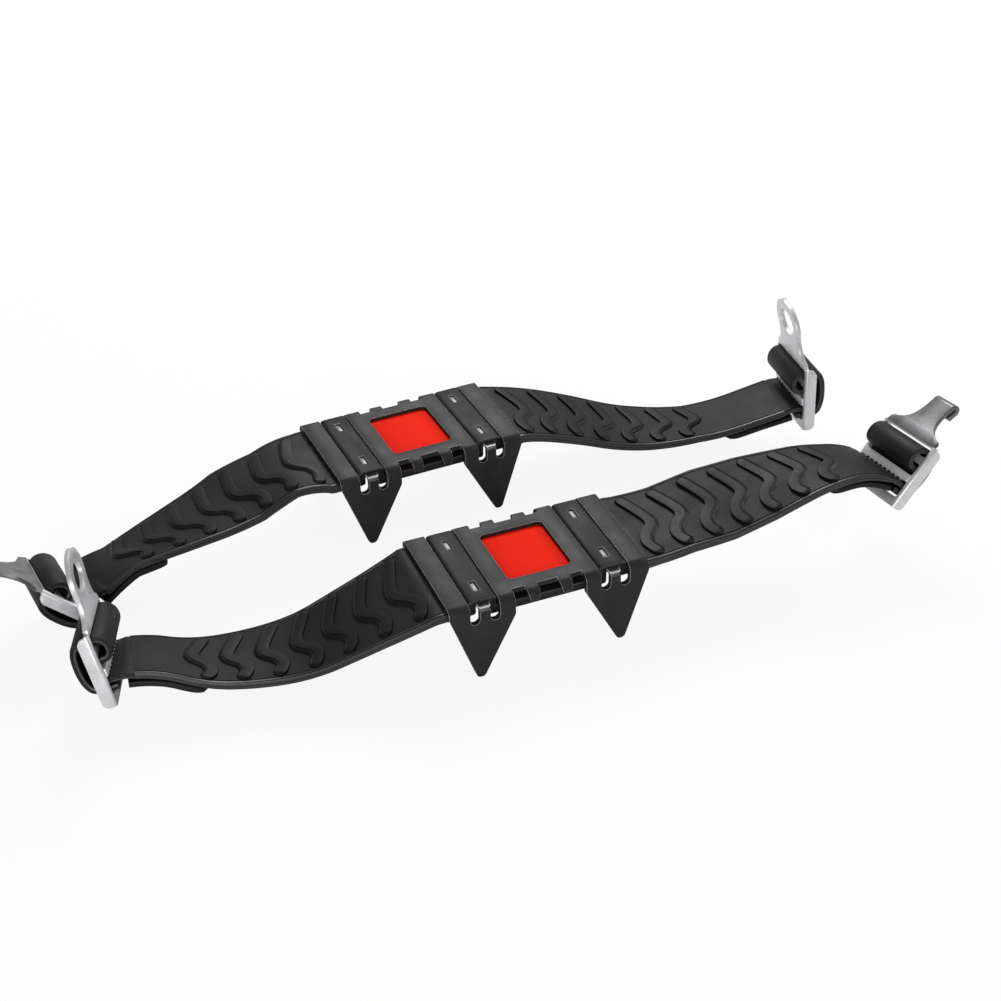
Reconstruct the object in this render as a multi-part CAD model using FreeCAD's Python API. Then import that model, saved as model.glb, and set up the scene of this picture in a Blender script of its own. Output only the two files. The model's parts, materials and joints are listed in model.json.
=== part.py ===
import FreeCAD, Part
import math
import os

# A pair of instep crampons, millimetres, +Z up, spike tips on the floor at z = 0.
# Row frame: +X runs along the front crampon's strap, +Y goes back to the rear one.

V = FreeCAD.Vector
os.makedirs("parts", exist_ok=True)

# spike plate: one bent sheet
SHEET = 2.0
DECK_L = 75.0
DECK_W = 45.6
DECK_Z = 30.0
WALL_LEAN = 2.0
BEND_R = 3.2
FRAME_HALF = DECK_L / 2 - 18.5
SLOT_OUT = DECK_L / 2 - 7.5
SLOT_HALF_W = DECK_W / 2 - 4.2
WINDOW_X = DECK_L - 50.6
WINDOW_Y = DECK_W - 18.4
WINDOW_R = 2.2
SPIKE_IN = 13.3
SPIKE_TIP_X = DECK_L / 2 - 10.7
SPIKE_TIP_HALF = 1.3
SPIKE_TIP_R = 1.8
SPIKE_SHOULDER_OUT = 26.5
SPIKE_SHOULDER_IN = 22.8
TAB_IN = DECK_L / 2 - 14.9
TAB_OUT = DECK_L / 2 - 11.1
TAB_TOP = 27.4
NOTCH_BOTTOM = 22.4
TOOTH_IN = 4.2
TOOTH_OUT = 8.0
TOOTH_BOTTOM = 26.2
NOTCH_DEPTH = 4.2

# cross bars that hold the strap in the slots
BAR_W = 4.4
BAR_T = 2.0
BAR_L = DECK_W - 0.4
LUG_L = 4.6
LUG_T = 1.4
LUG_Y = 12.6

# rubber strap
STRAP_W = DECK_W - 2 * SHEET - 0.6
STRAP_T = 3.3
STRAP_END_W = 30.0
STRAP_END_T = 2.4
STRAP_TOP = 27.7
STRAP_LOW_TOP = 26.2
HUMP_TOP = 32.8
HUMP_GAP = 0.35
PAD_TOP = 28.6
PAD_FLANGE = 1.5
PAD_GAP = 0.15

# hinge line of each arm, just outside the outer bar
HINGE_X = DECK_L / 2 + 2.5
HINGE_GAP = 0.35
SOCKET_R = 2.3
STEPS = 4
SEGMENTS = 6

# wavy ribs on the arms
RIBS = 7
RIB_FIRST = 4.6
RIB_PITCH = 12.3
RIB_W = 4.4
RIB_H = 1.0
# across the strap from the far edge (1) to the near edge (-1), and how far outward
RIB_PATH = ((0.93, 0.0), (0.55, 2.6), (0.12, 5.0), (-0.12, 4.4), (-0.34, 0.4), (-0.56, -1.3), (-0.76, -0.6), (-0.93, 1.2))

# closure plate: sheet steel ladder buckle with side flanges
PLATE_T = 1.6
PLATE_HALF = 17.3
FLANGE_OUT = 3.8
BUCKLE_H = 26.5
W1 = (3.7, 10.4)
W2 = (13.4, 18.4)
W3 = (21.5, 25.6)
WINDOW_HALF = 15.6
STRAP_U = 8.8
TAIL_U = 5.6
LOOP_T = 2.2
TAIL_GAP = 0.45
PIVOT_M = -3.4
PIVOT_R = 4.4
PIVOT_GAP = 0.35

# hook tongue
TONGUE_H = 18.0
TONGUE_HALF = 5.7
LIP_LEN = 5.0
LIP_GAP = 1.2

# eyelet
EYE_U = 15.0
EYE_HALF_W = 7.3
EYE_HALF_H = 5.2
EYE_RIM_W = 11.9
EYE_RIM_H = 9.2

# where the two crampons stand: x, y and turn about Z
FRONT = (2.46, -44.9, 0.0)
REAR = (-7.84, 43.6, 2.8)

# each arm: length, first pitch, then bend, twist and sweep in degrees for six equal lengths
FRONT_HOOK = (105.0, -2.0, (9, 1, 1, -1, -13, -25), (0, 7, -3, -8, -6, 0), (-1, 0, 0, -1, -1, 0))
FRONT_RING = (107.0, -20.0, (-1, -2, 16, 10, 18, -20), (-3, -2, -4, -4, -6, 0), (4, 3, 2, 0, -1, -3))
REAR_HOOK = (101.0, 11.0, (-20, -3, 8, 0, -2, -17), (-7, 6, -5, -6, -7, 11), (-8.5, -5, -1, 1, 1, 1))
REAR_RING = (122.0, -12.0, (-4, -2, 13, 10, 12, 0), (1, 0, -2, -4, 2, 3), (-11, -6, -2, 0, 0, 0))

# each closure plate against its arm's end: tilt, skew, roll, bend of its tip, and reach of its outer strap layer
FRONT_HOOK_END = (79.0, 0.0, -1.0, -15.0, 5.4)
FRONT_RING_END = (76.0, 8.0, -3.0, 3.0, 7.4)
REAR_HOOK_END = (67.0, 5.0, -12.0, -15.0, 7.4)
REAR_RING_END = (74.0, 2.0, -2.0, 10.0, 7.4)


def box(x0, x1, y0, y1, z0, z1):
    return Part.makeBox(x1 - x0, y1 - y0, z1 - z0, V(x0, y0, z0))


def prism(points, direction):
    wire = Part.makePolygon([V(*p) for p in points] + [V(*points[0])])
    return Part.Face(wire).extrude(V(*direction))


def round_box(x0, x1, y0, y1, z0, z1, r):
    b = box(x0, x1, y0, y1, z0, z1)
    edges = [e for e in b.Edges if abs(e.Vertexes[0].Z - e.Vertexes[1].Z) > 1e-6]
    return b.makeFillet(r, edges)


def stand(shape, unit):
    s = shape.copy()
    s.rotate(V(0, 0, 0), V(0, 0, 1), unit[2])
    s.translate(V(unit[0], unit[1], 0))
    return s


def save(shape, name):
    s = shape.removeSplitter()
    solids = s.Solids
    print(name, len(solids), round(s.Volume, 2), s.isValid(), "lowest", round(s.BoundBox.ZMin, 2))
    if len(solids) == 1:
        s = solids[0]
    s.exportStep("parts/" + name + ".step")


def spike_outline():
    a = SPIKE_TIP_X
    out = DECK_L / 2
    top = DECK_Z + 1
    pts = [(SPIKE_IN, 0, top), (out, 0, top), (out, 0, SPIKE_SHOULDER_OUT)]
    pts += [(a + SPIKE_TIP_HALF, 0, 0), (a - SPIKE_TIP_HALF, 0, 0), (SPIKE_IN, 0, SPIKE_SHOULDER_IN)]
    return pts


def spike_prism():
    body = prism([(x, -40, z) for x, y, z in spike_outline()], (0, 80, 0))
    tip = [e for e in body.Edges if abs(e.Vertexes[0].Z) < 0.01 and abs(e.Vertexes[1].Z) < 0.01 and e.Length > 70]
    body = body.makeFillet(SPIKE_TIP_R, tip)
    shoulders = []
    for e in body.Edges:
        z = e.Vertexes[0].Z
        flat = abs(z - e.Vertexes[1].Z) < 0.01 and e.Length > 70
        if flat and (abs(z - SPIKE_SHOULDER_OUT) < 0.01 or abs(z - SPIKE_SHOULDER_IN) < 0.01):
            shoulders.append(e)
    return body.makeFillet(3.0, shoulders)


def spike_plate():
    w = DECK_W / 2
    foot = w + WALL_LEAN
    outer = prism([(-DECK_L / 2, -foot, 0), (-DECK_L / 2, foot, 0), (-DECK_L / 2, w, DECK_Z), (-DECK_L / 2, -w, DECK_Z)],
                  (DECK_L, 0, 0))
    inner = prism([(-DECK_L, -foot + SHEET, -1), (-DECK_L, foot - SHEET, -1),
                   (-DECK_L, w - SHEET, DECK_Z - SHEET), (-DECK_L, -w + SHEET, DECK_Z - SHEET)], (DECK_L * 2, 0, 0))
    tops = [e for e in outer.Edges if e.Length > DECK_L - 1 and abs(e.Vertexes[0].Z - DECK_Z) < 0.01]
    outer = outer.makeFillet(BEND_R, tops)
    unders = [e for e in inner.Edges if e.Length > DECK_L - 1 and abs(e.Vertexes[0].Z - DECK_Z + SHEET) < 0.01]
    inner = inner.makeFillet(BEND_R - SHEET, unders)
    sheet = outer.cut(inner)
    spikes = spike_prism()
    keep = spikes.fuse(spikes.mirror(V(0, 0, 0), V(1, 0, 0)))
    for s in (-1, 1):
        x0 = TOOTH_IN * s
        x1 = TOOTH_OUT * s
        tooth = prism([(x0 - 0.6 * s, -40, DECK_Z + 1), (x1 + 0.6 * s, -40, DECK_Z + 1),
                       (x1 - 0.3 * s, -40, TOOTH_BOTTOM), (x0 + 0.3 * s, -40, TOOTH_BOTTOM)], (0, 80, 0))
        keep = keep.fuse(tooth)
    keep = keep.fuse(box(-DECK_L / 2, DECK_L / 2, -w + NOTCH_DEPTH, w - NOTCH_DEPTH, DECK_Z - SHEET - 1, DECK_Z + 1))
    plate = sheet.common(keep)
    cuts = round_box(-WINDOW_X / 2, WINDOW_X / 2, -WINDOW_Y / 2, WINDOW_Y / 2, 20, 40, WINDOW_R)
    for s in (-1, 1):
        xs = sorted((FRAME_HALF * s, SLOT_OUT * s))
        cuts = cuts.fuse(round_box(xs[0], xs[1], -SLOT_HALF_W, SLOT_HALF_W, 24.5, 40, 1.2))
        for a, b in ((FRAME_HALF, TAB_IN), (TAB_OUT, SLOT_OUT)):
            c = (a + b) / 2 * s
            r = (b - a) / 2
            cuts = cuts.fuse(box(c - r, c + r, -40, 40, NOTCH_BOTTOM + r, 40))
            cuts = cuts.fuse(Part.makeCylinder(r, 80, V(c, -40, NOTCH_BOTTOM + r), V(0, 1, 0)))
        ts = sorted((TAB_IN * s, TAB_OUT * s))
        cuts = cuts.fuse(box(ts[0] - 0.01, ts[1] + 0.01, -40, 40, TAB_TOP, 40))
    return plate.cut(cuts)


def strap_centre():
    bx = (TAB_IN + TAB_OUT) / 2
    gap = HUMP_GAP
    leg_in = FRAME_HALF + gap
    leg_out = SLOT_OUT - gap
    cav_in = bx - BAR_W / 2 - 0.1
    cav_out = bx + BAR_W / 2 + 0.1
    cav_top = TAB_TOP + 0.1 + BAR_T + 0.1
    end = HINGE_X - STRAP_T / 2 - HINGE_GAP
    low = STRAP_TOP - STRAP_T
    low2 = STRAP_LOW_TOP - STRAP_T
    half = [(0, low2), (cav_in - 0.6, low2), (cav_in, low2 + 0.8), (cav_in, cav_top), (cav_out, cav_top)]
    half += [(cav_out, low + 0.8), (cav_out + 0.6, low), (end, low), (end, STRAP_TOP)]
    half += [(leg_out, STRAP_TOP), (leg_out, HUMP_TOP), (leg_in, HUMP_TOP), (leg_in, STRAP_LOW_TOP), (0, STRAP_LOW_TOP)]
    y0 = -STRAP_W / 2
    body = prism([(x, y0, z) for x, z in half], (0, STRAP_W, 0))
    crown = [e for e in body.Edges if e.Length > 30 and abs(e.Vertexes[0].Z - HUMP_TOP) < 0.01
             and abs(e.Vertexes[1].Z - HUMP_TOP) < 0.01]
    body = body.makeFillet(1.8, crown)
    ys = LUG_Y
    for s in (-1, 1):
        body = body.cut(box(bx - LUG_T / 2 - 0.15, bx + LUG_T / 2 + 0.15,
                            ys * s - LUG_L / 2 - 0.15, ys * s + LUG_L / 2 + 0.15, cav_top - 1, HUMP_TOP + 1))
    # round socket in the strap's cut end, on the arm's hinge line
    hinge = V(HINGE_X, -STRAP_W, STRAP_TOP - STRAP_T / 2)
    body = body.cut(Part.makeCylinder(SOCKET_R, 2 * STRAP_W, hinge, V(0, 1, 0)))
    other = body.mirror(V(0, 0, 0), V(1, 0, 0))
    return body.fuse(other)


def cross_bar(side):
    bx = (TAB_IN + TAB_OUT) / 2 * side
    z0 = TAB_TOP + 0.1
    bar = round_box(bx - BAR_W / 2, bx + BAR_W / 2, -BAR_L / 2, BAR_L / 2, z0, z0 + BAR_T, 1.0)
    for s in (-1, 1):
        lug = box(bx - LUG_T / 2, bx + LUG_T / 2, LUG_Y * s - LUG_L / 2, LUG_Y * s + LUG_L / 2, z0, HUMP_TOP - 0.7)
        bar = bar.fuse(lug)
    return bar


def red_pad():
    z0 = STRAP_LOW_TOP + 0.02
    zf = DECK_Z - SHEET - 0.05
    g = PAD_GAP
    x = WINDOW_X / 2
    y = WINDOW_Y / 2
    f = PAD_FLANGE
    base = round_box(-x - f, x + f, -y - f, y + f, z0, zf, 1.5)
    face = round_box(-x + g, x - g, -y + g, y - g, z0, PAD_TOP, WINDOW_R - g)
    return base.fuse(face)


def turn(a, b, deg):
    c = math.cos(math.radians(deg))
    s = math.sin(math.radians(deg))
    return a * c + b * s, b * c - a * s


class Arm:
    # walks along a strap arm: point, tangent T, width W towards +Y, top normal N
    def __init__(self, unit, side, data):
        self.length, pitch, bends, twists, sweeps = data
        yaw = math.radians(unit[2])
        ex = V(math.cos(yaw), math.sin(yaw), 0)
        ey = V(-math.sin(yaw), math.cos(yaw), 0)
        t = ex * side
        w = ey
        n = V(0, 0, 1)
        p = V(unit[0], unit[1], STRAP_TOP - STRAP_T / 2) + ex * (side * HINGE_X)
        self.root = V(p)
        self.axis = V(ey)
        self.side = side
        t, n = turn(t, n, pitch)
        step = self.length / (SEGMENTS * STEPS)
        self.step = step
        self.frames = [(V(p), V(t), V(w), V(n))]
        for i in range(SEGMENTS):
            for j in range(STEPS):
                t, n = turn(t, n, bends[i] / STEPS / 2)
                t, w = turn(t, w, sweeps[i] / STEPS)
                w, n = turn(w, n, twists[i] / STEPS)
                p = p + t * step
                t, n = turn(t, n, bends[i] / STEPS / 2)
                self.frames.append((V(p), V(t), V(w), V(n)))

    def at(self, s):
        k = max(0.0, min(s / self.step, len(self.frames) - 1.001))
        i = int(k)
        f = k - i
        a = self.frames[i]
        b = self.frames[i + 1]
        p, t, w, n = [a[j] * (1 - f) + b[j] * f for j in range(4)]
        t.normalize()
        w.normalize()
        n.normalize()
        return p, t, w, n

    def half(self, s):
        return (STRAP_W + (STRAP_END_W - STRAP_W) * s / self.length) / 2

    def thick(self, s):
        return STRAP_T + (STRAP_END_T - STRAP_T) * s / self.length

    def point(self, s, v, h):
        p, t, w, n = self.at(s)
        return p + w * v + n * h


def skin(rings):
    # closed solid through rings of points, its long sides cut into flat triangles
    faces = []
    n = len(rings[0])
    for a, b in zip(rings, rings[1:]):
        for i in range(n):
            j = (i + 1) % n
            faces.append(Part.Face(Part.makePolygon([a[i], a[j], b[j], a[i]])))
            faces.append(Part.Face(Part.makePolygon([a[i], b[j], b[i], a[i]])))
    for end in (rings[0], rings[-1]):
        faces.append(Part.Face(Part.makePolygon(end + [end[0]])))
    solid = Part.Solid(Part.Shell(faces))
    if solid.Volume < 0:
        solid.reverse()
    return solid


def ribbon(arm, s0, s1, count, section):
    rings = []
    for i in range(count + 1):
        s = s0 + (s1 - s0) * i / count
        rings.append([arm.point(s, v, h) for v, h in section(s)])
    return rings


def chamfered(v, h):
    c = min(0.5, h / 2)
    return [(-v, -h + c), (-v, h - c), (-v + c, h), (v - c, h), (v, h - c), (v, -h + c), (v - c, -h), (-v + c, -h)]


def strap_section(arm, s):
    return chamfered(arm.half(s), arm.thick(s) / 2)


def round_root(arm):
    # rings that round the strap's inner end about the hinge line
    rings = []
    p, t, w, n = arm.frames[0]
    r = STRAP_T / 2
    for a in (72, 50, 30, 12):
        h = r * math.cos(math.radians(a))
        q = p - t * (r * math.sin(math.radians(a)))
        rings.append([q + w * v + n * z for v, z in chamfered(STRAP_W / 2, h)])
    return rings


def rib(arm, s0):
    rings = []
    pts = [(s0 + out, u * (arm.half(s0) - 1.2)) for u, out in RIB_PATH]
    for i, (s, v) in enumerate(pts):
        a = pts[max(0, i - 1)]
        b = pts[min(len(pts) - 1, i + 1)]
        ds = b[0] - a[0]
        dv = b[1] - a[1]
        p, t, w, n = arm.at(s)
        side = t * -dv + w * ds
        side.normalize()
        side = side * RIB_W
        c = p + w * v
        h = arm.thick(s) / 2
        ring = []
        for off, height in ((-0.5, -0.4), (-0.5, h + 0.2), (-0.36, h + RIB_H), (0.36, h + RIB_H), (0.5, h + 0.2), (0.5, -0.4)):
            ring.append(c + side * off + n * height)
        rings.append(ring)
    return skin(rings)


class Closure:
    # local axes at an arm's end: m outward, w across, u up towards the tip
    def __init__(self, arm, end):
        tilt, skew, roll, self.crank, self.bulge = end
        p, t, w, n = arm.at(arm.length)
        a = math.radians(tilt)
        m = t * math.sin(a) - n * math.cos(a)
        u = t * math.cos(a) + n * math.sin(a)
        m, w = turn(m, w, skew)
        w, u = turn(w, u, roll)
        self.m = m
        self.w = w * arm.side
        self.u = u
        self.origin = p - self.u * STRAP_U - self.m * PIVOT_M
        self.pivot = self.origin + self.m * PIVOT_M + self.u * ((STRAP_U + TAIL_U) / 2)

    def put(self, shape):
        mat = FreeCAD.Matrix()
        mat.A11, mat.A21, mat.A31 = self.m.x, self.m.y, self.m.z
        mat.A12, mat.A22, mat.A32 = self.w.x, self.w.y, self.w.z
        mat.A13, mat.A23, mat.A33 = self.u.x, self.u.y, self.u.z
        mat.A14, mat.A24, mat.A34 = self.origin.x, self.origin.y, self.origin.z
        s = shape.copy()
        s.Placement = FreeCAD.Placement(mat)
        return s

    def pivot_cylinder(self, r):
        return Part.makeCylinder(r, 80, self.pivot - self.w * 40, self.w)


def capsule_strip(points, thick, half_w):
    # a strap of even thickness along a path in the m-u plane
    out = None
    for a, b in zip(points, points[1:]):
        d = V(b[0] - a[0], 0, b[1] - a[1])
        n = V(-d.z, 0, d.x)
        n.normalize()
        n = n * (thick / 2)
        p = V(a[0], -half_w, a[1])
        q = V(b[0], -half_w, b[1])
        quad = [p + n, q + n, q - n, p - n]
        face = Part.Face(Part.makePolygon(quad + [quad[0]]))
        piece = face.extrude(V(0, 2 * half_w, 0))
        piece = piece.fuse(Part.makeCylinder(thick / 2, 2 * half_w, q, V(0, 1, 0)))
        out = piece if out is None else out.fuse(piece)
    return out


def loop_path(bulge):
    inner = 2.3 if bulge < 6 else 3.4
    pts = [(-9.0, STRAP_U), (1.0, STRAP_U), (inner - 0.2, 10.0), (inner, 12.2), (inner - 0.4, 14.4)]
    pts += [(inner - 1.6, 15.8), (-0.6, 16.1), (-2.8, 16.3), (-4.3, 17.4), (-4.8, 19.6), (-4.2, 21.8), (-2.5, 23.4)]
    pts += [(0, 23.8), (bulge - 2.3, 23.0), (bulge - 0.7, 21.0), (bulge, 17.5), (bulge, 12.5), (bulge - 0.9, 8.6)]
    pts += [(bulge - 2.6, 6.4), (0.8, TAIL_U), (-9.0, TAIL_U)]
    return pts


def strap_loop(closure):
    body = capsule_strip(loop_path(closure.bulge), LOOP_T, STRAP_END_W / 2)
    pivot_u = (STRAP_U + TAIL_U) / 2
    keep = Part.makeCylinder(PIVOT_R - PIVOT_GAP, 80, V(PIVOT_M, -40, pivot_u), V(0, 1, 0))
    keep = keep.fuse(box(PIVOT_M, 40, -40, 40, -20, 60))
    away = box(-40, PIVOT_M, -40, 40, pivot_u - PIVOT_R - 4, STRAP_U + LOOP_T)
    away = away.cut(keep)
    return closure.put(body.cut(away))


def buckle():
    t = PLATE_T / 2
    h = PLATE_HALF
    plate = box(-t, t, -h, h, 0, BUCKLE_H)
    for s in (-1, 1):
        ys = sorted((h * s, (h - PLATE_T) * s))
        flange = box(-t, FLANGE_OUT, ys[0], ys[1], 0, BUCKLE_H - 0.6)
        rounds = [e for e in flange.Edges if abs(e.Vertexes[0].X - FLANGE_OUT) < 0.01
                  and abs(e.Vertexes[1].X - FLANGE_OUT) < 0.01 and e.Length < PLATE_T + 0.01]
        plate = plate.fuse(flange.makeFillet(2.4, rounds))
    corners = []
    plate = plate.removeSplitter()
    for e in plate.Edges:
        a = e.Vertexes[0]
        b = e.Vertexes[-1]
        on = abs(abs(a.Y) - h) < 0.01 and abs(abs(b.Y) - h) < 0.01 and abs(a.X + t) < 0.01 and abs(b.X + t) < 0.01
        if on and abs(a.Z - b.Z) > 20:
            corners.append(e)
    plate = plate.makeFillet(1.2, corners)
    for u0, u1 in (W1, W2, W3):
        win = box(-5, 5, -WINDOW_HALF, WINDOW_HALF, u0, u1)
        ends = [e for e in win.Edges if abs(e.Vertexes[0].X - e.Vertexes[1].X) > 5]
        plate = plate.cut(win.makeFillet(0.8, ends))
    return plate


def teeth():
    # small serrations on the gripping bar's lower edge
    t = PLATE_T / 2
    out = None
    for i in range(9):
        y = (i - 4) * 3.0
        one = prism([(-t - 0.5, y - 1.1, W1[1] + 0.2), (-t - 0.5, y + 1.1, W1[1] + 0.2), (-t - 0.5, y, W1[1] - 0.7)], (1.3, 0, 0))
        out = one if out is None else out.fuse(one)
    out = out.fuse(box(-t - 0.5, -t + 0.1, -WINDOW_HALF, WINDOW_HALF, W1[1] + 0.1, W1[1] + 2.9))
    return out


def flat_profile(points, t):
    face = Part.Face(Part.makePolygon([V(-t, w, u) for w, u in points] + [V(-t, points[0][0], points[0][1])]))
    return face.extrude(V(2 * t, 0, 0))


def bend_out(shape, crank):
    # the tip part of a closure plate is bent a few degrees along its base line
    shape.rotate(V(0, 0, BUCKLE_H), V(0, 1, 0), -crank)
    return shape


def hook_plate(crank):
    t = PLATE_T / 2
    right = [(15.6, -0.6), (15.4, 1.8), (14.4, 2.7), (12.2, 3.3), (9.8, 4.2), (8.0, 5.7), (6.7, 7.8), (6.0, 10.2)]
    right += [(TONGUE_HALF, 13.0), (TONGUE_HALF, TONGUE_H - 1.4)]
    pts = [(w, u) for w, u in right] + [(-w, u) for w, u in reversed(right)]
    tongue = flat_profile(pts, t)
    r = LIP_GAP / 2 + t
    z = TONGUE_H - 1.4
    start = V(r, -TONGUE_HALF, z)
    bow = Part.makeCylinder(r + t, 2 * TONGUE_HALF, start, V(0, 1, 0))
    bow = bow.cut(Part.makeCylinder(r - t, 2 * TONGUE_HALF, start, V(0, 1, 0)))
    bow = bow.common(box(-20, 20, -20, 20, z, z + 20))
    lip = box(2 * r - t, 2 * r + t, -TONGUE_HALF, TONGUE_HALF, z - LIP_LEN + 1.4, z)
    tip = tongue.fuse(bow).fuse(lip)
    tip.translate(V(0, 0, BUCKLE_H))
    return buckle().fuse(teeth()).fuse(bend_out(tip, crank))


def ellipse_plate(half_w, half_h, t):
    curve = Part.Ellipse(V(0, 0, 0), half_w, half_h).toShape()
    face = Part.Face(Part.Wire([curve]))
    s = face.extrude(V(0, 0, 2 * t))
    s.translate(V(0, 0, -t))
    s.rotate(V(0, 0, 0), V(0, 0, 1), 90)
    s.rotate(V(0, 0, 0), V(0, 1, 0), 90)
    s.translate(V(0, 0, EYE_U))
    return s


def ring_plate(crank):
    t = PLATE_T / 2
    right = [(15.6, -0.6), (15.4, 1.4), (14.4, 2.2), (12.8, 3.0), (11.6, 4.4), (10.9, 6.4), (10.6, 9.0), (11.0, 11.6)]
    pts = [(w, u) for w, u in right] + [(-w, u) for w, u in reversed(right)]
    neck = flat_profile(pts, t)
    eye = neck.fuse(ellipse_plate(EYE_RIM_W, EYE_RIM_H, t)).cut(ellipse_plate(EYE_HALF_W, EYE_HALF_H, t + 1))
    eye.translate(V(0, 0, BUCKLE_H))
    return buckle().fuse(teeth()).fuse(bend_out(eye, crank))


def arm_solid(arm, closure):
    rings = round_root(arm) + ribbon(arm, 0.0, arm.length - 1.0, SEGMENTS * 3, lambda s: strap_section(arm, s))
    body = skin(rings)
    for i in range(RIBS):
        r = rib(arm, RIB_FIRST + RIB_PITCH * i)
        body = body.fuse(r)
    body = body.cut(closure.pivot_cylinder(PIVOT_R))
    return max(body.Solids, key=lambda piece: piece.Volume)


def tail_solid(arm, closure, length):
    gap = TAIL_GAP
    drop = STRAP_U - TAIL_U
    start = arm.length - 1.0
    near = arm.thick(arm.length) / 2 + gap + LOOP_T / 2

    def section(s):
        k = max(0.0, min(1.0, (arm.length - 3.0 - s) / 12.0))
        mid = -(drop * (1 - k) + near * k)
        v = arm.half(s) - 0.4
        h = LOOP_T / 2
        return [(-v, mid - h), (-v, mid + h), (v, mid + h), (v, mid - h)]

    rings = []
    count = 8
    for i in range(count + 1):
        s = start - length * i / count
        rings.append([arm.point(s, v, h) for v, h in section(s)])
    body = skin(rings)
    return body.cut(closure.pivot_cylinder(PIVOT_R))


def build(prefix, unit, hook_side, hook_arm, ring_arm, hook_end, ring_end):
    save(stand(spike_plate(), unit), prefix + "_spike_plate")
    save(stand(strap_centre(), unit), prefix + "_strap_centre")
    save(stand(red_pad(), unit), prefix + "_red_pad")
    save(stand(cross_bar(hook_side), unit), prefix + "_hook_side_bar")
    save(stand(cross_bar(-hook_side), unit), prefix + "_ring_side_bar")
    for kind, side, data, end, plate in (("hook", hook_side, hook_arm, hook_end, hook_plate),
                                         ("ring", -hook_side, ring_arm, ring_end, ring_plate)):
        arm = Arm(unit, side, data)
        closure = Closure(arm, end)
        save(arm_solid(arm, closure), prefix + "_" + kind + "_arm")
        save(tail_solid(arm, closure, 28.0), prefix + "_" + kind + "_tail")
        save(strap_loop(closure), prefix + "_" + kind + "_loop")
        save(closure.put(plate(closure.crank)), prefix + "_" + kind + "_plate")
        print(prefix, kind, "closure hinge", closure.pivot, "axis", closure.w)


build("front", FRONT, 1, FRONT_HOOK, FRONT_RING, FRONT_HOOK_END, FRONT_RING_END)
build("rear", REAR, -1, REAR_HOOK, REAR_RING, REAR_HOOK_END, REAR_RING_END)
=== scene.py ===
import json
import math

import bmesh
import bpy
from mathutils import Matrix, Vector


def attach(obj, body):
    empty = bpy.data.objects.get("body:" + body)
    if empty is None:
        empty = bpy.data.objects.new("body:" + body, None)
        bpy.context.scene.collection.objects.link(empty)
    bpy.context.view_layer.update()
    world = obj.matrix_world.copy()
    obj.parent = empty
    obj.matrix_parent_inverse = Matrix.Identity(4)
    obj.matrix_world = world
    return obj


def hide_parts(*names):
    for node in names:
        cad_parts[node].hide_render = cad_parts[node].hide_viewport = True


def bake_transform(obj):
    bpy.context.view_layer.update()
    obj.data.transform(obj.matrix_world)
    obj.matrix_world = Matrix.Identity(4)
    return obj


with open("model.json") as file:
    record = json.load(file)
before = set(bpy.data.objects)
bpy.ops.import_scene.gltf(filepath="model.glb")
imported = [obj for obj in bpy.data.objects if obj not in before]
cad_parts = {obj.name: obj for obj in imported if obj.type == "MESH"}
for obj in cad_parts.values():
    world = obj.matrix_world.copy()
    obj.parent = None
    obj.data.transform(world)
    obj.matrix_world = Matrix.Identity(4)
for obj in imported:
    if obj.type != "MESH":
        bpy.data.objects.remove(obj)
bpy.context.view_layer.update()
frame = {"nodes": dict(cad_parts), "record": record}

MM = 0.001
BODY_OF = {n: b for b, ns in frame["record"]["behaviour"]["bodies"].items() for n in ns}

# the same sizes as the solids, millimetres
STRAP_W = 41.0
STRAP_T = 3.3
STRAP_END_W = 30.0
STRAP_END_T = 2.4
STRAP_TOP = 27.7
HINGE_X = 40.0
STEPS = 4
SEGMENTS = 6
RIBS = 7
RIB_FIRST = 4.6
RIB_PITCH = 12.3
RIB_W = 4.4
RIB_H = 1.0
# across the strap from the far edge (1) to the near edge (-1), and how far outward
RIB_PATH = ((0.93, 0.0), (0.55, 2.6), (0.12, 5.0), (-0.12, 4.4), (-0.34, 0.4), (-0.56, -1.3),
            (-0.76, -0.6), (-0.93, 1.2))
STRAP_U = 8.8
TAIL_U = 5.6
LOOP_T = 2.2
PIVOT_M = -3.4
TAIL_GAP = 0.45
TAIL_LEN = 28.0
BUCKLE_H = 26.5

# how far each kind of edge is rounded, millimetres
ROUND_PLATE = 0.38
ROUND_CENTRE = 0.45
ROUND_PAD = 0.3
ROUND_BAR = 0.22
ROUND_BUCKLE = 0.28
SHARP_EDGE = math.radians(32)
SHADE_EDGE = math.radians(38)

# above LOW_FROM the humps and lugs keep this share of the solids' height, to stand as in the photograph
LOW_FROM = 27.9
HUMP_SHARE = 0.5
LUG_SHARE = 0.46

FRONT = (2.46, -44.9, 0.0)
REAR = (-7.84, 43.6, 2.8)
# each arm: crampon, side, (length, first pitch, then bend, twist and sweep for six equal lengths),
# (tilt, skew, roll and loop reach of its buckle)
ARMS = {
    "front_hook": (FRONT, 1,
                   (105.0, -2.0, (9, 1, 1, -1, -13, -25), (0, 7, -3, -8, -6, 0), (-1, 0, 0, -1, -1, 0)),
                   (79.0, 0.0, -1.0, 5.4)),
    "front_ring": (FRONT, -1,
                   (107.0, -20.0, (-1, -2, 16, 10, 18, -20), (-3, -2, -4, -4, -6, 0), (4, 3, 2, 0, -1, -3)),
                   (76.0, 8.0, -3.0, 7.4)),
    "rear_hook": (REAR, -1,
                  (101.0, 11.0, (-20, -3, 8, 0, -2, -17), (-7, 6, -5, -6, -7, 11), (-8.5, -5, -1, 1, 1, 1)),
                  (67.0, 5.0, -12.0, 7.4)),
    "rear_ring": (REAR, 1,
                  (122.0, -12.0, (-4, -2, 13, 10, 12, 0), (1, 0, -2, -4, 2, 3), (-11, -6, -2, 0, 0, 0)),
                  (74.0, 2.0, -2.0, 7.4)),
}

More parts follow.
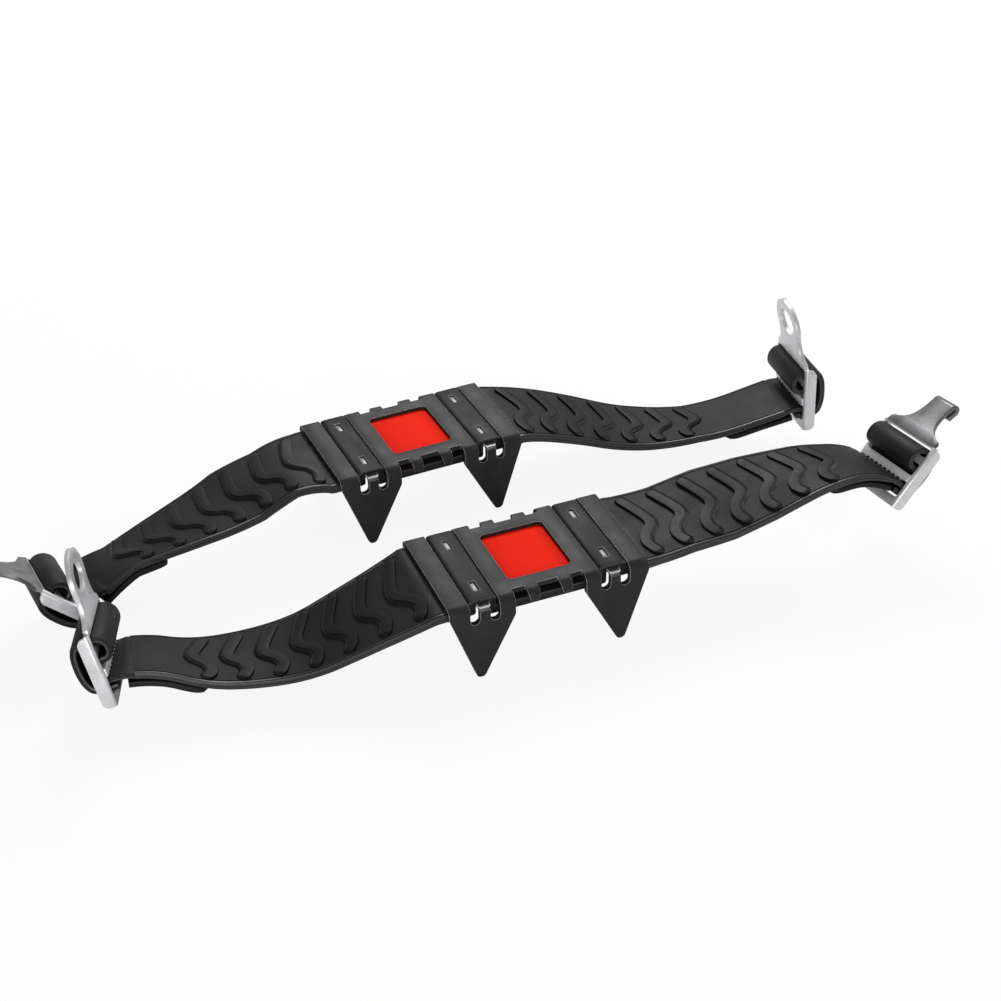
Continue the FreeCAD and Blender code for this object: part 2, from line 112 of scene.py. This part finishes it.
# lamps: place, target, size in metres, power in watts
LAMPS = {
    "back_key": ((0.30, 0.70, 0.72), (0.02, 0.0, 0.02), 0.45, 6.5),
    "front_fill": ((-0.40, -0.85, 0.30), (0.0, 0.0, 0.02), 0.5, 4.0),
    "right_soft": ((0.90, 0.05, 0.40), (0.05, 0.0, 0.02), 0.3, 3.0),
}
WORLD_LEVEL = 0.30
FLOOR_HALF = 3.0
FLOOR_Z = -0.0004
FLOOR_WHITE_SHARE = 0.90

# the camera, from the photograph's perspective
FOCAL_PX = 1610.0
PHOTO_PX = 1001.0
SENSOR_MM = 36.0
CAMERA_AT = (-0.18114, -0.4567, 0.3726)
CAMERA_RIGHT = (0.9209, -0.3898, 0.0)
CAMERA_FORWARD = (0.3173, 0.7497, -0.5807)


# materials

def link(tree, a, out, b, inp):
    tree.links.new(a.outputs[out], b.inputs[inp])


def fresh(name):
    mat = bpy.data.materials.new(name)
    mat.use_nodes = True
    tree = mat.node_tree
    shader = next(n for n in tree.nodes if n.type == "BSDF_PRINCIPLED")
    coords = tree.nodes.new("ShaderNodeTexCoord")
    return mat, tree, shader, coords


def noise(tree, coords, scale, detail=3.0, rough=0.55):
    n = tree.nodes.new("ShaderNodeTexNoise")
    n.inputs["Scale"].default_value = scale
    n.inputs["Detail"].default_value = detail
    n.inputs["Roughness"].default_value = rough
    link(tree, coords, "Object", n, "Vector")
    return n


def ramp(tree, source, out, stops):
    r = tree.nodes.new("ShaderNodeValToRGB")
    for element, (place, colour) in zip(r.color_ramp.elements, stops):
        element.position = place
        element.color = colour + (1,)
    link(tree, source, out, r, "Fac")
    return r


def grey(v):
    return (v, v * 1.01, v * 1.03)


def spread(tree, source, out, low, high, target):
    m = tree.nodes.new("ShaderNodeMapRange")
    m.inputs["From Min"].default_value = 0.3
    m.inputs["From Max"].default_value = 0.7
    m.inputs["To Min"].default_value = low
    m.inputs["To Max"].default_value = high
    link(tree, source, out, m, "Value")
    link(tree, m, "Result", *target)


def bumps(tree, shader, layers):
    last = None
    for source, out, strength, distance in layers:
        b = tree.nodes.new("ShaderNodeBump")
        b.inputs["Strength"].default_value = strength
        b.inputs["Distance"].default_value = distance
        link(tree, source, out, b, "Height")
        if last is not None:
            link(tree, last, "Normal", b, "Normal")
        last = b
    link(tree, last, "Normal", shader, "Normal")


def surface(name, stops, broad, fine, rough, metal=0.0, spec=0.5, bump=0.25, distance=0.0001, cells=None):
    """A grained material: two tones over broad patches and fine grain, with the grain as bump."""
    mat, tree, shader, coords = fresh(name)
    shader.inputs["Metallic"].default_value = metal
    shader.inputs["Specular IOR Level"].default_value = spec
    wide = noise(tree, coords, broad, 4.0)
    grain = noise(tree, coords, fine, 2.0, 0.6)
    mix = tree.nodes.new("ShaderNodeMix")
    mix.data_type = "FLOAT"
    mix.inputs[0].default_value = 0.45
    link(tree, wide, "Fac", mix, 2)
    link(tree, grain, "Fac", mix, 3)
    link(tree, ramp(tree, mix, 0, stops), "Color", shader, "Base Color")
    spread(tree, wide, "Fac", rough[0], rough[1], (shader, "Roughness"))
    layers = [(grain, "Fac", bump, distance)]
    if cells:
        cell = tree.nodes.new("ShaderNodeTexVoronoi")
        cell.inputs["Scale"].default_value = cells
        link(tree, coords, "Object", cell, "Vector")
        layers.append((cell, "Distance", bump * 0.6, distance))
    bumps(tree, shader, layers)
    return mat


def greys(dark_at, dark, light_at, light):
    return (dark_at, grey(dark)), (light_at, grey(light))


COAT = surface("coated_steel_dark", greys(0.35, 0.013, 0.68, 0.026), 90, 2600, (0.46, 0.58),
               spec=0.22, bump=0.22, distance=0.00006, cells=1500)
# the rounded cut edges: pale, partly worn coating and partly a painted highlight along every edge
WORN_EDGE_AND_HIGHLIGHT = surface("coated_steel_worn_edge_and_painted_highlight", greys(0.22, 0.66, 0.50, 0.93), 160, 3000, (0.34, 0.46),
               metal=0.1, bump=0.2, distance=0.00005)
ZINC = surface("zinc_plated_steel", greys(0.35, 0.58, 0.66, 0.76), 140, 2400, (0.32, 0.48),
               metal=0.50, bump=0.25, distance=0.00006, cells=620)
# the buckles' rounded edges: lighter steel, a painted highlight
ZINC_EDGE_HIGHLIGHT = surface("zinc_steel_painted_edge_highlight", greys(0.35, 0.78, 0.66, 0.90), 160, 2400, (0.28, 0.40),
                    metal=0.35, bump=0.15, distance=0.00004)
# a hook's tongue: the buckle's steel painted darker as shade, with a coarser real grain
TONGUE_GRAIN_AND_SHADE = surface("zinc_steel_tip_grained_painted_shade", greys(0.36, 0.10, 0.66, 0.22), 150, 2600, (0.36, 0.50),
                 metal=0.65, bump=0.35, distance=0.00008, cells=900)
RUBBER = surface("black_rubber_grained", greys(0.34, 0.0055, 0.68, 0.013), 70, 1900, (0.50, 0.64),
                 spec=0.22, bump=0.55, distance=0.00009, cells=1300)
RIB_SKIN = surface("black_rubber_rib", greys(0.34, 0.0045, 0.68, 0.008), 60, 2400, (0.46, 0.56),
                   spec=0.19, bump=0.15, distance=0.00004)
# lighter rubber on side lines, grooves and rounded edges: a painted highlight
EDGE_HIGHLIGHT_SKIN = surface("black_rubber_painted_edge_highlight", greys(0.34, 0.018, 0.68, 0.040), 60, 2400, (0.34, 0.44),
                    spec=0.45, bump=0.12, distance=0.00004)
# the darkest rubber, on each rib's near shoulder: painted shade
RIB_SHADE_SKIN = surface("black_rubber_rib_painted_shade", greys(0.34, 0.002, 0.68, 0.004), 60, 2400, (0.60, 0.70),
                    spec=0.12, bump=0.12, distance=0.00004)
RED = surface("red_rubber_smooth", ((0.34, (0.88, 0.012, 0.002)), (0.68, (0.96, 0.020, 0.003))),
              50, 1600, (0.60, 0.70), spec=0.05, bump=0.12, distance=0.00005)
LUG = surface("dull_lug_steel", greys(0.34, 0.10, 0.68, 0.20), 200, 3000, (0.34, 0.48),
              metal=0.7, bump=0.3, distance=0.00006)


# meshes

def finish_piece(name, mesh, mats, body, nodes):
    for m in mats:
        mesh.materials.append(m)
    obj = bpy.data.objects.new(name, mesh)
    bpy.context.scene.collection.objects.link(obj)
    for p in mesh.polygons:
        p.use_smooth = True
    mesh.set_sharp_from_angle(angle=SHADE_EDGE)
    if body:
        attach(obj, body)
    if nodes:
        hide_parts(*nodes)
    return obj


def rounded_node(node, name, offset, mats, pick=None, share=None):
    """A copy of a CAD node's solid with its sharp edges rounded; the rounded faces take the second material,
    which for most nodes is lighter, a painted highlight along the edges. pick gives a face's material, and
    share is the share of its height above LOW_FROM that the node keeps."""
    src = frame["nodes"][node].data
    bm = bmesh.new()
    bm.from_mesh(src)
    bmesh.ops.remove_doubles(bm, verts=bm.verts, dist=2e-6)
    bmesh.ops.dissolve_limit(bm, angle_limit=math.radians(0.6), verts=bm.verts, edges=bm.edges)
    if share:
        low = LOW_FROM * MM
        for v in bm.verts:
            if v.co.z > low:
                v.co.z = low + (v.co.z - low) * share
    for f in bm.faces:
        f.material_index = pick(f) if pick else 0
    edges = [e for e in bm.edges if len(e.link_faces) == 2 and e.calc_face_angle(0.0) > SHARP_EDGE]
    made = bmesh.ops.bevel(bm, geom=edges, offset=offset * MM, offset_type="OFFSET", segments=2, profile=0.5,
                           affect="EDGES", clamp_overlap=True, material=-1)
    for f in made["faces"]:
        if f.material_index == 0:
            f.material_index = 1
    bmesh.ops.triangulate(bm, faces=[f for f in bm.faces if len(f.verts) > 4])
    bmesh.ops.recalc_face_normals(bm, faces=bm.faces)
    mesh = bpy.data.meshes.new(name)
    bm.to_mesh(mesh)
    bm.free()
    return finish_piece(name, mesh, mats, BODY_OF[node], [node])


def smooth_between(a, b, c, d, f):
    """The point at share f from b to c on a smooth curve through a, b, c and d."""
    return (b * 2 + (c - a) * f + (a * 2 - b * 5 + c * 4 - d) * f * f
            + (b * 3 - a - c * 3 + d) * f ** 3) * 0.5


def neighbours(row, i):
    """The items before, at and twice after i, held inside the row."""
    return (row[max(0, min(len(row) - 1, j))] for j in (i - 1, i, i + 1, i + 2))


def turn(a, b, deg):
    c, s = math.cos(math.radians(deg)), math.sin(math.radians(deg))
    return a * c + b * s, b * c - a * s


class Arm:
    """Walks along a strap arm as the solids do: point, along, across and out."""

    def __init__(self, unit, side, data):
        self.length, pitch, bends, twists, sweeps = data
        yaw = math.radians(unit[2])
        ex = Vector((math.cos(yaw), math.sin(yaw), 0))
        t, w, n = ex * side, Vector((-math.sin(yaw), math.cos(yaw), 0)), Vector((0, 0, 1))
        p = Vector((unit[0], unit[1], STRAP_TOP - STRAP_T / 2)) + ex * (side * HINGE_X)
        self.side = side
        self.start = (p.copy(), t.copy(), w.copy(), n.copy())
        t, n = turn(t, n, pitch)
        self.step = self.length / (SEGMENTS * STEPS)
        self.frames = [(p.copy(), t.copy(), w.copy(), n.copy())]
        for i in range(SEGMENTS):
            for _ in range(STEPS):
                t, n = turn(t, n, bends[i] / STEPS / 2)
                t, w = turn(t, w, sweeps[i] / STEPS)
                w, n = turn(w, n, twists[i] / STEPS)
                p = p + t * self.step
                t, n = turn(t, n, bends[i] / STEPS / 2)
                self.frames.append((p.copy(), t.copy(), w.copy(), n.copy()))

    def at(self, s):
        if s < 0:
            p, t, w, n = self.start
            return p + t * s, t, w, n
        k = max(0.0, min(s / self.step, len(self.frames) - 1.001))
        i = int(k)
        f = k - i
        a, b, c, d = neighbours(self.frames, i)
        p = smooth_between(a[0], b[0], c[0], d[0], f)
        if s < 1.5:
            k = s / 1.5
            t, w, n = ((self.start[j] * (1 - k) + b[j] * k).normalized() for j in (1, 2, 3))
            return p, t, w, n
        t, w, n = ((b[j] * (1 - f) + c[j] * f).normalized() for j in (1, 2, 3))
        return p, t, w, n

    def half(self, s):
        return (STRAP_W + (STRAP_END_W - STRAP_W) * max(0, s) / self.length) / 2

    def thick(self, s):
        return STRAP_T + (STRAP_END_T - STRAP_T) * max(0, s) / self.length


def strap_profile(half, thick, lips):
    """Closed outline across a strap, as (v, h); lips adds the line along each side and the groove
    on the top by it."""
    h = thick / 2
    right = [(half - 0.5, -h), (half - 0.15, -h + 0.15), (half, -h + 0.5)]
    if lips:
        right += [(half, -0.12), (half - 0.22, 0.0), (half, 0.12)]
    right += [(half, h - 0.55), (half - 0.14, h - 0.18), (half - 0.5, h)]
    if lips:
        right += [(half - 1.25, h), (half - 1.45, h - 0.30), (half - 1.75, h - 0.30), (half - 1.95, h)]
    pts = right + [(0.0, h)] + [(-v, z) for v, z in reversed(right)] + [(0.0, -h)]
    return pts


def lip_strips(count, lip):
    """The material of each strip of a strap with lips: lip, a painted highlight, on its side lines and
    grooves, 0 elsewhere.
    """
    half = (count - 2) // 2
    mats = []
    for i in range(count):
        k = i if i < half else count - 2 - i
        mats.append(lip if 3 <= k <= 7 or k in (9, 10) else 0)
    return mats


def ring_mesh(bm, rings, mats):
    """Quads between rings of points in millimetres; mats gives the material of each strip."""
    rows = [[bm.verts.new(Vector(p) * MM) for p in r] for r in rings]
    n = len(rows[0])
    for a, b in zip(rows, rows[1:]):
        for i in range(n):
            j = (i + 1) % n
            f = bm.faces.new((a[i], a[j], b[j], b[i]))
            f.material_index = mats[i] if mats else 0
    bm.faces.new(rows[0])
    bm.faces.new(list(reversed(rows[-1])))


def curve_points(pts, per):
    """Points along a smooth curve through pts."""
    pts = [Vector(q) for q in pts]
    out = []
    for i in range(len(pts) - 1):
        a, b, c, d = neighbours(pts, i)
        out += [smooth_between(a, b, c, d, k / per) for k in range(per)]
    out.append(pts[-1])
    return out


def to_mesh(bm, name):
    bmesh.ops.recalc_face_normals(bm, faces=bm.faces)
    mesh = bpy.data.meshes.new(name)
    bm.to_mesh(mesh)
    bm.free()
    return mesh


def rib_section(rise):
    """Across a rib, as (share of its half width, height): up the near shoulder, over the flat
    top with its groove, and down the other side."""
    return ((-1.0, -0.35), (-1.0, rise * 0.80), (-0.95, rise * 0.96), (-0.88, rise), (-0.1, rise),
            (0.36, rise), (0.43, rise - 0.30), (0.55, rise - 0.30), (0.62, rise * 0.98),
            (0.80, rise * 0.80), (0.97, rise * 0.35), (1.1, 0.0), (1.1, -0.35))


# the material of each strip across a rib: 3, painted shade, on the near shoulder, 2, a painted highlight, on
# the groove's far wall, and 1, the rib's own rubber, elsewhere
RIB_STRIPS = (3, 3, 1, 1, 1, 1, 1, 2, 1, 1, 1, 1, 1)


def rib_rings(bm, arm, s0):
    """One raised wavy rib with rounded ends."""
    ctrl = [(s0 + out, u * (arm.half(s0) - 1.0), 0.0) for u, out in RIB_PATH]
    pts = curve_points(ctrl, 6)
    run = [0.0]
    for a, b in zip(pts, pts[1:]):
        run.append(run[-1] + (b - a).length)
    total = run[-1]
    r = RIB_W / 2 + 0.35
    rings = []
    for i, q in enumerate(pts):
        a, b = pts[max(0, i - 1)], pts[min(len(pts) - 1, i + 1)]
        d = (b - a).normalized()
        near = min(run[i], total - run[i])
        wide = r if near >= r else math.sqrt(max(0.02, 1 - (1 - near / r) ** 2)) * r
        rise = RIB_H if near >= r * 0.5 else RIB_H * (0.35 + 0.65 * near / (r * 0.5))
        s, v = q.x, q.y
        p, t, w, n = arm.at(s)
        side = (t * -d.y + w * d.x).normalized()
        base = arm.thick(s) / 2
        c = p + w * v
        rings.append([c + side * (k * wide) + n * (base + h) for k, h in rib_section(rise)])
    ring_mesh(bm, rings, RIB_STRIPS)


def strap_arm(key, arm):
    """The ribbed arm from under the plate's outer bar to the buckle, bending at the fold."""
    bm = bmesh.new()
    stations = [-5.5, -4.0, -2.5, -1.2] + [0.5 + i * (arm.length - 4.0 - 0.5) / 64 for i in range(65)]
    rings = []
    for s in stations:
        p, t, w, n = arm.at(s)
        grow = 0.12 if s < 0 else 0.12 * max(0.0, 1 - s / 3)
        prof = strap_profile(arm.half(s) + grow, arm.thick(s) + 2 * grow, True)
        rings.append([p + w * v + n * h for v, h in prof])
    # the arm's side lines and grooves take the painted highlight
    ring_mesh(bm, rings, lip_strips(len(rings[0]), 2))
    for i in range(RIBS):
        rib_rings(bm, arm, RIB_FIRST + RIB_PITCH * i)
    name = "rubber_" + key + "_arm"
    # the rib shoulders carry painted shade and the side lines a painted highlight
    mats = [RUBBER, RIB_SKIN, EDGE_HIGHLIGHT_SKIN, RIB_SHADE_SKIN]
    obj = finish_piece(name, to_mesh(bm, name), mats, None, [key + "_arm"])
    p, t = arm.start[:2]
    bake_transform(obj)


def closure_axes(arm, end):
    """A buckle's axes m outward, w across and u up to its tip, its origin, and its loop's reach."""
    tilt, skew, roll, bulge = end
    p, t, w, n = arm.frames[-1]
    a = math.radians(tilt)
    m = t * math.sin(a) - n * math.cos(a)
    u = t * math.cos(a) + n * math.sin(a)
    m, w = turn(m, w, skew)
    w, u = turn(w, u, roll)
    w = w * arm.side
    origin = p - u * STRAP_U - m * PIVOT_M
    return m, w, u, origin, bulge


def strap_tail(key, arm):
    """The inner layer of the strap, laid back under the arm from the buckle."""
    bm = bmesh.new()
    rings = []
    count = 22
    start = arm.length - 2.0
    near = arm.thick(arm.length) / 2 + TAIL_GAP + LOOP_T / 2
    for i in range(count + 1):
        s = start - (TAIL_LEN - 1.0) * i / count
        k = max(0.0, min(1.0, (arm.length - 3.0 - s) / 12.0))
        mid = -((STRAP_U - TAIL_U) * (1 - k) + near * k)
        p, t, w, n = arm.at(s)
        left = TAIL_LEN - 1.0 - (start - s)
        round_end = min(1.0, math.sqrt(max(0.0, 1 - (1 - min(1.0, left / 5.0)) ** 2)))
        half = (arm.half(s) - 0.4) * (0.80 + 0.20 * round_end)
        outline = strap_profile(half, LOOP_T * (0.7 + 0.3 * round_end), False)
        rings.append([p + w * v + n * (mid + h) for v, h in outline])
    ring_mesh(bm, rings, None)
    name = "rubber_" + key + "_tail"
    finish_piece(name, to_mesh(bm, name), [RUBBER], key + "_strap", [key + "_tail"])


def strap_loop(key, arm, end):
    """The strap's end wound round the buckle's bars: up through it, over the top bar and down outside."""
    m, w, u, origin, bulge = closure_axes(arm, end)
    inner = 2.3 if bulge < 6 else 3.4
    path = [(1.0, STRAP_U), (inner - 0.2, 10.0), (inner, 12.2), (inner - 0.4, 14.4), (inner - 1.6, 15.8),
            (-0.6, 16.1), (-2.8, 16.3), (-4.3, 17.4), (-4.8, 19.6), (-4.2, 21.8), (-2.5, 23.4), (0, 23.8),
            (bulge - 2.3, 23.0), (bulge - 0.7, 21.0), (bulge, 17.5), (bulge, 12.5), (bulge - 0.9, 8.6),
            (bulge - 2.6, 6.4), (0.8, TAIL_U)]
    pts = [arm.at(arm.length - back)[0] for back in (6.5, 4.0, 1.5)]
    pts += [origin + m * a + u * b for a, b in path]
    pts.append(origin + m * -3.0 + u * TAIL_U)
    curve = curve_points(pts, 4)
    bm = bmesh.new()
    rings = []
    wa = arm.at(arm.length - 6.5)[2] * arm.side
    for i, p in enumerate(curve):
        d = (curve[min(len(curve) - 1, i + 1)] - curve[max(0, i - 1)]).normalized()
        k = min(1.0, i / 12)
        across = (wa * (1 - k) + w * k)
        across = (across - d * across.dot(d)).normalized()
        out = across.cross(d).normalized()
        # its first rings are tucked into the arm's end
        tucked = i < 4
        half = STRAP_END_W / 2 - 0.1 - (0.5 if tucked else 0)
        outline = strap_profile(half, LOOP_T * (0.88 if tucked else 1.0), True)
        rings.append([p + across * v + out * h for v, h in outline])
    # the loop's side lines and grooves take the painted highlight
    ring_mesh(bm, rings, lip_strips(len(rings[0]), 1))
    name = "rubber_" + key + "_loop"
    mats = [RUBBER, EDGE_HIGHLIGHT_SKIN]
    obj = finish_piece(name, to_mesh(bm, name), mats, None, [key + "_loop"])
    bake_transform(obj)


def closure_plate(key, arm, end):
    """The sheet steel buckle; a hook's tongue is more grained and painted darker, as shade."""
    m, w, u, origin, bulge = closure_axes(arm, end)
    hook = key.endswith("hook")

    def pick(face):
        # faces up a hook's tongue take the painted shade
        c = face.calc_center_median() / MM - origin
        return 2 if hook and c.dot(u) > BUCKLE_H + 0.3 else 0

    # the second material is a painted highlight on the rounded edges
    mats = [ZINC, ZINC_EDGE_HIGHLIGHT, TONGUE_GRAIN_AND_SHADE]
    rounded_node(key + "_plate", "steel_" + key + "_plate", ROUND_BUCKLE, mats, pick)


for crampon in ("front", "rear"):
    # the plates' and bars' rounded edges take the pale worn-edge steel with its painted highlight
    rounded_node(crampon + "_spike_plate", "steel_" + crampon + "_spike_plate", ROUND_PLATE, [COAT, WORN_EDGE_AND_HIGHLIGHT])
    # the centre's rounded edges take the painted highlight
    rounded_node(crampon + "_strap_centre", "rubber_" + crampon + "_centre", ROUND_CENTRE,
                 [RUBBER, EDGE_HIGHLIGHT_SKIN], share=HUMP_SHARE)
    rounded_node(crampon + "_red_pad", "rubber_" + crampon + "_red_pad", ROUND_PAD, [RED, RED])
    for kind in ("_hook", "_ring"):
        rounded_node(crampon + kind + "_side_bar", "steel_" + crampon + kind + "_bar", ROUND_BAR,
                     [LUG, WORN_EDGE_AND_HIGHLIGHT], share=LUG_SHARE)
for key, (unit, side, data, end) in ARMS.items():
    arm = Arm(unit, side, data)
    strap_arm(key, arm)
    strap_tail(key, arm)
    strap_loop(key, arm, end)
    closure_plate(key, arm, end)


# floor, light and camera

def seen_directly(tree):
    """1 for what the camera sees, itself or through glass, and 0 for what lights the object."""
    rays = tree.nodes.new("ShaderNodeLightPath")
    seen = tree.nodes.new("ShaderNodeMath")
    seen.operation = "MAXIMUM"
    link(tree, rays, "Is Camera Ray", seen, 0)
    link(tree, rays, "Is Transmission Ray", seen, 1)
    return seen


def stage_floor():
    mesh = bpy.data.meshes.new("floor")
    h = FLOOR_HALF
    mesh.from_pydata([(-h, -h, 0), (h, -h, 0), (h, h, 0), (-h, h, 0)], [], [(0, 1, 2, 3)])
    floor = bpy.data.objects.new("floor", mesh)
    floor.location.z = FLOOR_Z
    bpy.context.scene.collection.objects.link(floor)
    mat, tree, shader, coords = fresh("pale_floor")
    shader.inputs["Roughness"].default_value = 0.9
    shader.inputs["Specular IOR Level"].default_value = 0.1
    fine = noise(tree, coords, 40, 3.0)
    tone = ramp(tree, fine, "Fac", ((0.3, (0.93, 0.93, 0.93)), (0.7, (0.95, 0.95, 0.95))))
    link(tree, tone, "Color", shader, "Base Color")
    # mostly plain white to the camera, with the object's shadow in the rest
    glow = tree.nodes.new("ShaderNodeEmission")
    share = tree.nodes.new("ShaderNodeMath")
    share.operation = "MULTIPLY"
    share.inputs[1].default_value = FLOOR_WHITE_SHARE
    link(tree, seen_directly(tree), 0, share, 0)
    both = tree.nodes.new("ShaderNodeMixShader")
    link(tree, share, 0, both, 0)
    link(tree, shader, "BSDF", both, 1)
    link(tree, glow, "Emission", both, 2)
    out = next(n for n in tree.nodes if n.type == "OUTPUT_MATERIAL")
    link(tree, both, 0, out, "Surface")
    mesh.materials.append(mat)


def lamp(name, place, target, size, power):
    data = bpy.data.lights.new(name, "AREA")
    data.shape = "DISK"
    data.size = size
    data.energy = power
    obj = bpy.data.objects.new(name, data)
    obj.location = place
    aim = Vector(target) - Vector(place)
    obj.rotation_euler = aim.to_track_quat("-Z", "Y").to_euler()
    bpy.context.scene.collection.objects.link(obj)


def backdrop():
    world = bpy.data.worlds.new("studio")
    world.use_nodes = True
    tree = world.node_tree
    back = next(n for n in tree.nodes if n.type == "BACKGROUND")
    back.inputs["Color"].default_value = (1, 1, 1, 1)
    level = tree.nodes.new("ShaderNodeMapRange")
    level.inputs["To Min"].default_value = WORLD_LEVEL
    level.inputs["To Max"].default_value = 1.0
    link(tree, seen_directly(tree), 0, level, "Value")
    link(tree, level, "Result", back, "Strength")
    bpy.context.scene.world = world


stage_floor()
backdrop()
for name, values in LAMPS.items():
    lamp(name, *values)

camera_data = bpy.data.cameras.new("camera")
camera_data.sensor_fit = "HORIZONTAL"
camera_data.sensor_width = SENSOR_MM
camera_data.lens = FOCAL_PX / PHOTO_PX * SENSOR_MM
camera_data.clip_start = 0.01
camera_data.clip_end = 20.0
camera = bpy.data.objects.new("camera", camera_data)
bpy.context.scene.collection.objects.link(camera)
right = Vector(CAMERA_RIGHT).normalized()
forward = Vector(CAMERA_FORWARD).normalized()
up = right.cross(forward).normalized()
camera.matrix_world = Matrix((
    (right.x, up.x, -forward.x, CAMERA_AT[0]),
    (right.y, up.y, -forward.y, CAMERA_AT[1]),
    (right.z, up.z, -forward.z, CAMERA_AT[2]),
    (0, 0, 0, 1)))
bpy.context.scene.camera = camera
bpy.context.scene.view_settings.view_transform = "Standard"
